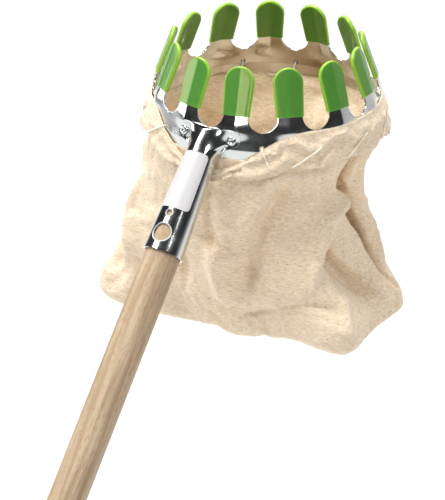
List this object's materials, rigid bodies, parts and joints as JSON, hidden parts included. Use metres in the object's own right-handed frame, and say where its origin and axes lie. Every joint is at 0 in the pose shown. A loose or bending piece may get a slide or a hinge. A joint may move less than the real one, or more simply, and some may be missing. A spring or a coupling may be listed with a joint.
{
  "type": "fruit picker",
  "caption": "Fruit picker head: toothed sheet-steel ring with soft plastic finger caps, a laced cloth bag below and a slanted socket wedged on a wooden pole.",
  "frame": {"origin": "centre of the crown's mouth, in the plane of the scallop bottoms", "axes": "+Z along the crown's axis, out of the mouth; -Y is the side of the pole; +X to the right seen from the pole"},
  "size_m": [0.2, 0.5961, 0.5152],
  "materials": {
    "zinc_plated_steel": "bright zinc plate",
    "rivet_steel": "headed rivet, plain",
    "soft_pvc": "dipped soft PVC, glossy",
    "label_paper": "blank coated paper",
    "beech": "sanded, unvarnished",
    "calico": "unbleached cotton calico",
    "cotton_cord": "white cotton cord"
  },
  "bodies": {
    "pole": {"pole": "beech"},
    "head": {"crown_band": "zinc_plated_steel", "tine_cap_01": "soft_pvc", "tine_cap_02": "soft_pvc", "tine_cap_03": "soft_pvc", "tine_cap_04": "soft_pvc", "tine_cap_05": "soft_pvc", "tine_cap_06": "soft_pvc", "tine_cap_07": "soft_pvc", "tine_cap_08": "soft_pvc", "tine_cap_09": "soft_pvc", "tine_cap_10": "soft_pvc", "tine_cap_11": "soft_pvc", "tine_cap_12": "soft_pvc", "tine_cap_13": "soft_pvc", "socket_bracket": "zinc_plated_steel", "rivet_left": "rivet_steel", "rivet_right": "rivet_steel", "socket_label": "label_paper", "lacing_cord": "cotton_cord", "bag_hem": "calico", "bag_neck": "calico"},
    "bag": {"bag_body": "calico"}
  },
  "joints": [
    {"name": "head_pull_off", "type": "slide", "parent": "pole", "child": "head", "axis": [0, 0.6807, 0.7325], "range_m": [0, 0.09]},
    {"name": "bag_swing", "type": "hinge", "parent": "head", "child": "bag", "pos_m": [0, -0.00646, -0.022], "axis": [1, 0, 0], "range_deg": [-20, 30], "deforming": ["bag_neck"]}
  ]
}
